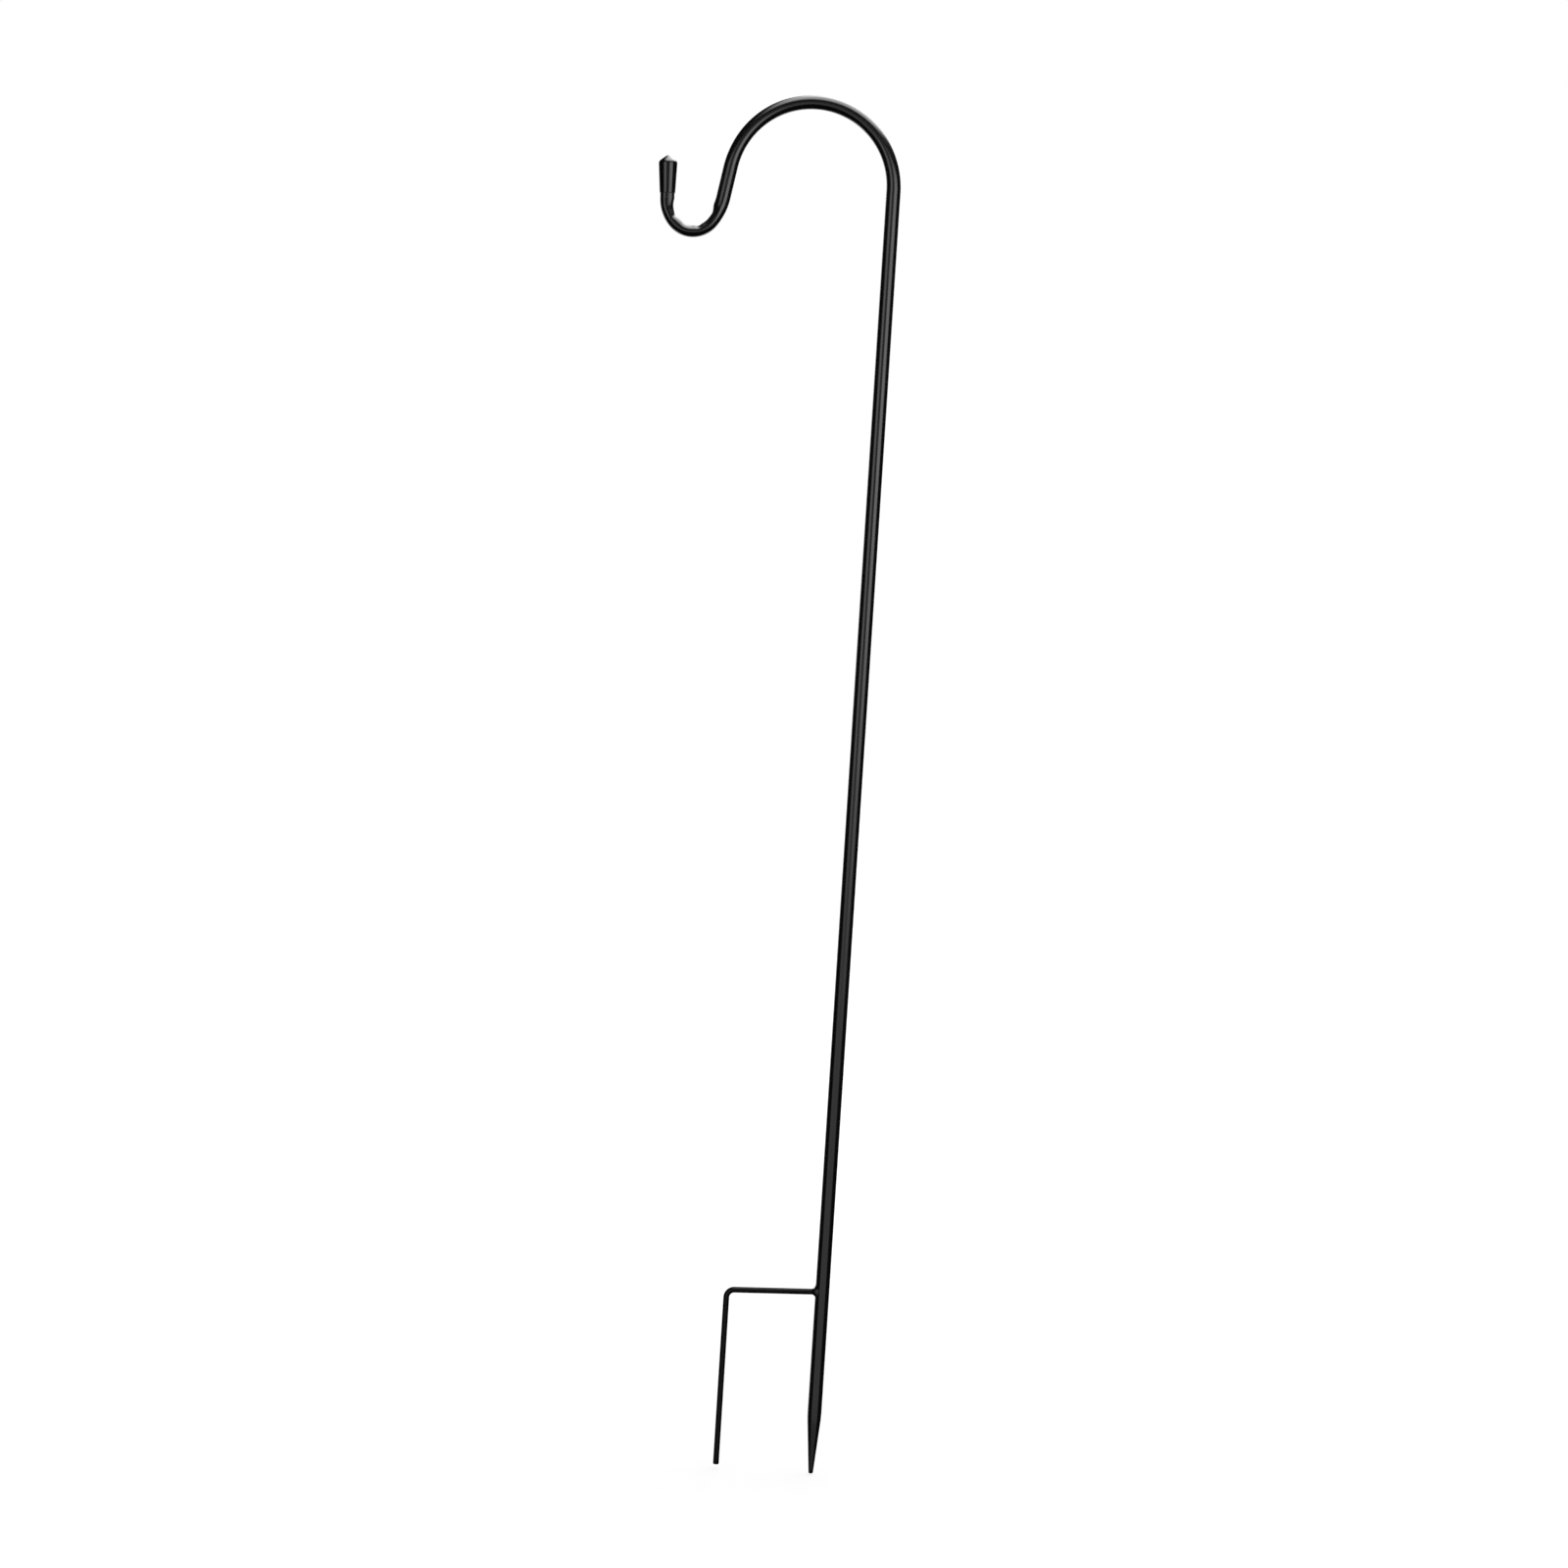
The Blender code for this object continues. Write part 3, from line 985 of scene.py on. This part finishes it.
def wall_place(tree: NodeTree) -> tuple[NodeSocket, NodeSocket]:
    """Bearing from the front in degrees, and height, of a point on a wall round the object.

    Args:
        tree: Node tree that they are made in.

    Returns:
        Their sockets.
    """
    place = add_node(tree, "TexCoord").outputs["Object"]
    axes = add_node(tree, "SeparateXYZ", {0: place}).outputs
    front = add_node(tree, "Math", {0: axes["Y"], 1: -1.0}, operation="MULTIPLY")
    turn = add_node(tree, "Math", {0: axes["X"], 1: front.outputs[0]}, operation="ARCTAN2")
    bearing = add_node(tree, "Math", {0: turn.outputs[0]}, operation="DEGREES")
    return bearing.outputs[0], axes["Z"]


def cover(piece: Object, name: str, surface: Callable[[NodeTree], Node]) -> None:
    """Gives a piece of the studio its material and keeps it out of the object.

    Args:
        piece: Wall or floor.
        name: Name of the material.
        surface: Makes the material's last shader in a node tree.
    """
    material = bpy.data.materials.new(name)
    material.use_nodes = True
    tree = material.node_tree
    tree.nodes.remove(tree.nodes["Principled BSDF"])
    tree.links.new(surface(tree).outputs[0], tree.nodes["Material Output"].inputs["Surface"])
    piece.data.materials.append(material)


def raise_wall(
    name: str, radius: float, bottom: float, top: float, left: float, right: float, ends: bool
) -> Object:
    """Puts up a round wall that only the gloss of the object sees.

    Args:
        name: Name of the wall.
        radius: Its distance from the shaft.
        bottom: Height of its foot.
        top: Height of its rim.
        left: Bearing that it starts at, in degrees from the front.
        right: Bearing that it ends at.
        ends: Whether it has a floor and a roof.

    Returns:
        The wall, without a material.
    """

    def left_out(face: BMFace) -> bool:
        """Whether an upright face is past the wall's bearings."""
        middle = face.calc_center_median()
        within = left < degrees(atan2(middle.x, -middle.y)) < right
        return abs(face.normal.z) < UPRIGHT_RISE and not within

    bpy.ops.object.select_all(action="DESELECT")
    bpy.ops.mesh.primitive_cylinder_add(
        vertices=ROUND_SIDES,
        radius=radius,
        depth=top - bottom,
        end_fill_type="NGON" if ends else "NOTHING",
        location=(0.0, 0.0, (top + bottom) / 2),
    )
    wall = bpy.context.object
    wall.name = name
    bpy.ops.object.transform_apply(location=True, rotation=True, scale=True)
    bpy.ops.object.mode_set(mode="EDIT")
    select_faces(wall, left_out)
    bpy.ops.mesh.delete(type="FACE")
    bpy.ops.object.mode_set(mode="OBJECT")
    for ray in ("camera", "diffuse", "shadow", "transmission"):
        setattr(wall, f"visible_{ray}", False)
    return wall


@dataclass(frozen=True)
class NearPanel:
    """Curved diffusion panel close to the object, which only its gloss sees."""

    distance: float = 1.1
    scrim: Scrim = Scrim(14.0, 59.0, 0.38, 1.26, 1.70)
    margin: float = 6.0
    side_soft: float = 3.0
    bottom_soft: float = 0.35
    top_soft: float = 0.08

    def hang(self) -> None:
        """Hangs the panel, clear beyond its soft edges."""
        scrim = self.scrim
        levels = scrim.bottom - self.bottom_soft, scrim.top + self.top_soft
        sides = scrim.left - self.margin, scrim.right + self.margin
        panel = raise_wall("near_panel", self.distance, *levels, *sides, ends=False)
        cover(panel, "diffusion_cloth", self.cloth)

    def cloth(self, tree: NodeTree) -> Node:
        """Lit cloth that turns clear towards its edges.

        Args:
            tree: Node tree of its material.

        Returns:
            The last shader.
        """
        scrim = self.scrim
        bearing, height = wall_place(tree)
        shows = window(tree, bearing, scrim.left, scrim.right, self.side_soft, 1.0)
        shows = window(tree, height, scrim.bottom, BEYOND, self.bottom_soft, shows)
        shows = window(tree, height, -BEYOND, scrim.top, self.top_soft, shows)
        clear = add_node(tree, "BsdfTransparent").outputs[0]
        lit = add_node(tree, "Emission", {"Color": WHITE, "Strength": scrim.glow}).outputs[0]
        return add_node(tree, "MixShader", {0: shows, 1: clear, 2: lit})


@dataclass(frozen=True)
class LightTent:
    """Black tent round the object, open behind, with lit scrims in its wall and its roof.

    Only the gloss sees it. Its black cloth gives black paint its dark sides and undersides, and its
    scrims are the long lights on the paint.
    """

    radius: float = 3.45
    open_left: float = -134.0
    open_right: float = 150.0
    foot: float = -2.10
    roof: float = 2.31
    wall_soft: float = 2.5
    height_soft: float = 0.12
    scrims: tuple[Scrim, ...] = (
        Scrim(-48.0, -20.0, 0.17, 1.82, 0.95),
        Scrim(-60.0, 60.0, 0.17, 1.82, 0.16),
        Scrim(-49.0, 49.0, -1.70, 0.17, 0.41),
    )
    roof_left: float = -0.62
    roof_left_skew: float = 0.25
    roof_left_soft: float = 0.38
    roof_right: float = 1.24
    roof_right_skew: float = 0.12
    roof_right_soft: float = 0.36
    roof_front: float = -1.75
    roof_full: float = -0.30
    roof_back: float = 2.60
    roof_back_soft: float = 0.20
    roof_seam: float = 0.01
    roof_glow: float = 3.57

    def pitch(self) -> None:
        """Puts up the wall, the roof and the floor of the tent."""
        sides = self.open_left, self.open_right
        tent = raise_wall("black_tent", self.radius, self.foot, self.roof, *sides, ends=True)
        cover(tent, "black_cloth_and_scrims", self.cloth)

    def cloth(self, tree: NodeTree) -> Node:
        """Black cloth with the lit scrims let into it.

        Args:
            tree: Node tree of its material.

        Returns:
            The last shader.
        """
        bearing, height = wall_place(tree)
        glow = self.roof_light(tree)
        for scrim in self.scrims:
            lit = window(tree, bearing, scrim.left, scrim.right, self.wall_soft, scrim.glow)
            lit = window(tree, height, scrim.bottom, scrim.top, self.height_soft, lit)
            glow = add_node(tree, "Math", {0: glow, 1: lit}, operation="ADD").outputs[0]
        return add_node(tree, "Emission", {"Color": WHITE, "Strength": glow})

    def roof_light(self, tree: NodeTree) -> NodeSocket:
        """Glow of the scrim in the roof, which fades towards the front.

        Args:
            tree: Node tree of the tent's material.

        Returns:
            Its socket.
        """
        place = add_node(tree, "TexCoord").outputs["Object"]
        axes = add_node(tree, "SeparateXYZ", {0: place}).outputs
        leftward, rightward = (
            add_node(
                tree, "Math", {0: axes["Y"], 1: -skew, 2: axes["X"]}, operation="MULTIPLY_ADD"
            ).outputs[0]
            for skew in (self.roof_left_skew, self.roof_right_skew)
        )
        # The last window, which keeps the wall dark, shows one half at the roof, so it is doubled.
        fade = {"Value": axes["Y"], "From Min": self.roof_front, "From Max": self.roof_full}
        fade["To Max"] = 2 * self.roof_glow
        lit = add_node(tree, "MapRange", fade, interpolation_type="SMOOTHSTEP").outputs["Result"]
        for value, low, high, soft in (
            (leftward, self.roof_left, BEYOND, self.roof_left_soft),
            (rightward, -BEYOND, self.roof_right, self.roof_right_soft),
            (axes["Y"], -BEYOND, self.roof_back, self.roof_back_soft),
            (axes["Z"], self.roof, BEYOND, self.roof_seam),
        ):
            lit = window(tree, value, low, high, soft, lit)
        return lit


@dataclass(frozen=True)
class Studio:
    """White backdrop and floor, plain soft lamps, and the tent that the gloss sees."""

    floor_height: float = -0.1575
    floor_reach: float = 12.0
    shadow_reach: float = 1.2
    floor_glow: float = 0.72
    paper_shade: str = "#b4b4b4"
    aim: tuple[float, float, float] = (-0.06, 0.0, 0.45)
    fill: float = 0.45
    lamps: tuple[Lamp, ...] = (
        Lamp("overhead_lamp", (0.5, 0.8, 2.3), 1.9, 1.9, 0.9),
        Lamp("right_lamp", (1.7, -2.3, 0.9), 1.4, 1.6, 0.8),
        Lamp("left_lamp", (-1.6, -2.5, 0.9), 1.0, 1.6, 0.7),
    )

    def build(self) -> None:
        """Puts up the world, the floor, the lamps and the tent."""
        self.light_world()
        self.lay_floor()
        for lamp in self.lamps:
            lamp.hang(Vector(self.aim))
        LightTent().pitch()
        NearPanel().hang()
        LOG.info("studio with %d lamps and a tent", len(self.lamps))

    def shows_white(self, tree: NodeTree) -> NodeSocket:
        """Factor that is 1 for camera, glossy and transmission rays.

        Args:
            tree: Node tree that it is made in.

        Returns:
            The factor's socket.
        """
        path = add_node(tree, "LightPath").outputs
        factor = path["Is Camera Ray"]
        for ray in ("Is Glossy Ray", "Is Transmission Ray"):
            pair = {0: factor, 1: path[ray]}
            factor = add_node(tree, "Math", pair, operation="MAXIMUM").outputs[0]
        return factor

    def light_world(self) -> None:
        """Makes the world white to the eye and in reflections, and a plain fill for the rest."""
        world = bpy.data.worlds.new("white_studio")
        world.use_nodes = True
        bpy.context.scene.world = world
        tree = world.node_tree
        levels = {"Value": self.shows_white(tree), "To Min": self.fill, "To Max": 1.0}
        strength = add_node(tree, "MapRange", levels).outputs["Result"]
        background = tree.nodes["Background"].inputs
        background["Color"].default_value = WHITE
        tree.links.new(strength, background["Strength"])

    def lay_floor(self) -> None:
        """Lays a round pale floor just under the point."""
        bpy.ops.object.select_all(action="DESELECT")
        place = (0.0, 0.0, self.floor_height)
        bpy.ops.mesh.primitive_circle_add(
            vertices=ROUND_SIDES, radius=self.floor_reach, fill_type="NGON", location=place
        )
        floor = bpy.context.object
        floor.name = "white_floor"
        bpy.ops.object.transform_apply(location=True, rotation=True, scale=True)
        floor.visible_glossy = False
        cover(floor, "white_sweep_paper", self.paper)

    def paper(self, tree: NodeTree) -> Node:
        """Matt paper that glows, so that it is white to the eye and still takes a shadow.

        Near the object the lamps on the paper make up what its glow lacks of white. Further out
        the glow alone is white.

        Args:
            tree: Node tree of its material.

        Returns:
            The last shader.
        """
        place = add_node(tree, "TexCoord").outputs["Object"]
        reach = add_node(tree, "VectorMath", {0: place}, operation="LENGTH").outputs["Value"]
        rise = {"Value": reach, "From Min": self.shadow_reach / 2, "From Max": self.shadow_reach}
        rise |= {"To Min": self.floor_glow, "To Max": 1.0}
        glow = add_node(tree, "MapRange", rise).outputs["Result"]
        factors = {0: glow, 1: self.shows_white(tree)}
        seen = add_node(tree, "Math", factors, operation="MULTIPLY").outputs[0]
        lit = add_node(tree, "Emission", {"Color": WHITE, "Strength": seen}).outputs[0]
        paper = add_node(tree, "BsdfDiffuse", {"Color": linear(self.paper_shade)}).outputs[0]
        return add_node(tree, "AddShader", {0: lit, 1: paper})


@dataclass(frozen=True)
class Viewpoint:
    """Camera at the photograph's place: a long lens, a little above level and rolled a little."""

    target: tuple[float, float, float] = (-0.0618, 0.0, 0.4504)
    distance: float = 3.0
    pitch: float = radians(3.95)
    roll: float = radians(3.619)
    lens: float = 79.14
    sensor: float = 36.0

    def build(self) -> None:
        """Adds the camera and makes it the scene's."""
        data = bpy.data.cameras.new("photograph_camera")
        data.lens = self.lens
        data.sensor_width = self.sensor
        camera = bpy.data.objects.new("photograph_camera", data)
        onward = Vector((0.0, cos(self.pitch), -sin(self.pitch)))
        right = Vector((1.0, 0.0, 0.0))
        up = right.cross(onward)
        side = right * cos(self.roll) + up * sin(self.roll)
        top = up * cos(self.roll) - right * sin(self.roll)
        turn = Matrix((side, top, -onward)).transposed().to_4x4()
        place = Vector(self.target) - onward * self.distance
        camera.matrix_world = Matrix.Translation(place) @ turn
        bpy.context.scene.collection.objects.link(camera)
        bpy.context.scene.camera = camera


def main() -> None:
    """Sets the camera, builds the pieces in order, then the studio."""
    logging.basicConfig(level=logging.INFO, format="%(message)s")
    Viewpoint().build()
    tube_coat = PowderCoat("powder_coated_tube").make()
    # The wire has the same powder coat as the tube, but darker shades. The darker shades are
    # painted shade, for the darker look of the thin wire low on the shaft in its light. Its rougher
    # gloss without a skin is set as its own.
    wire_coat_with_painted_shade = PowderCoat(
        "powder_coated_wire",
        clouding=Clouding(0.018, 3.0, 0.55),
        shades=("#0a0a0b", "#060607"),
        gloss=(0.34, 0.42),
        ior=1.35,
        skin_weight=0.0,
    ).make()
    frozen_pool = Clouding(0.0022, 0.0, depth=0.00009)
    weld_coat = PowderCoat("powder_coated_weld", reliefs=(*PowderCoat.reliefs, frozen_pool)).make()
    vinyl = MouldedVinyl("moulded_vinyl").make()

    tube = CrookTube()
    dress(tube.build(), tube_coat, "crook_tube")
    prong = StepProng()
    dress(prong.build(), wire_coat_with_painted_shade, "step_prong")
    bead = WeldBead(tube.radius, prong.radius, prong.bar_height, prong.droop)
    dress(bead.build(), weld_coat, "prong_weld_bead")
    cap = EndCap(tube.seat_point, tube.seat_heading)
    dress(cap.build(), vinyl, "hook_end_cap")

    Studio().build()
    bpy.context.scene.view_settings.view_transform = "Standard"


if __name__ == "__main__":
    main()
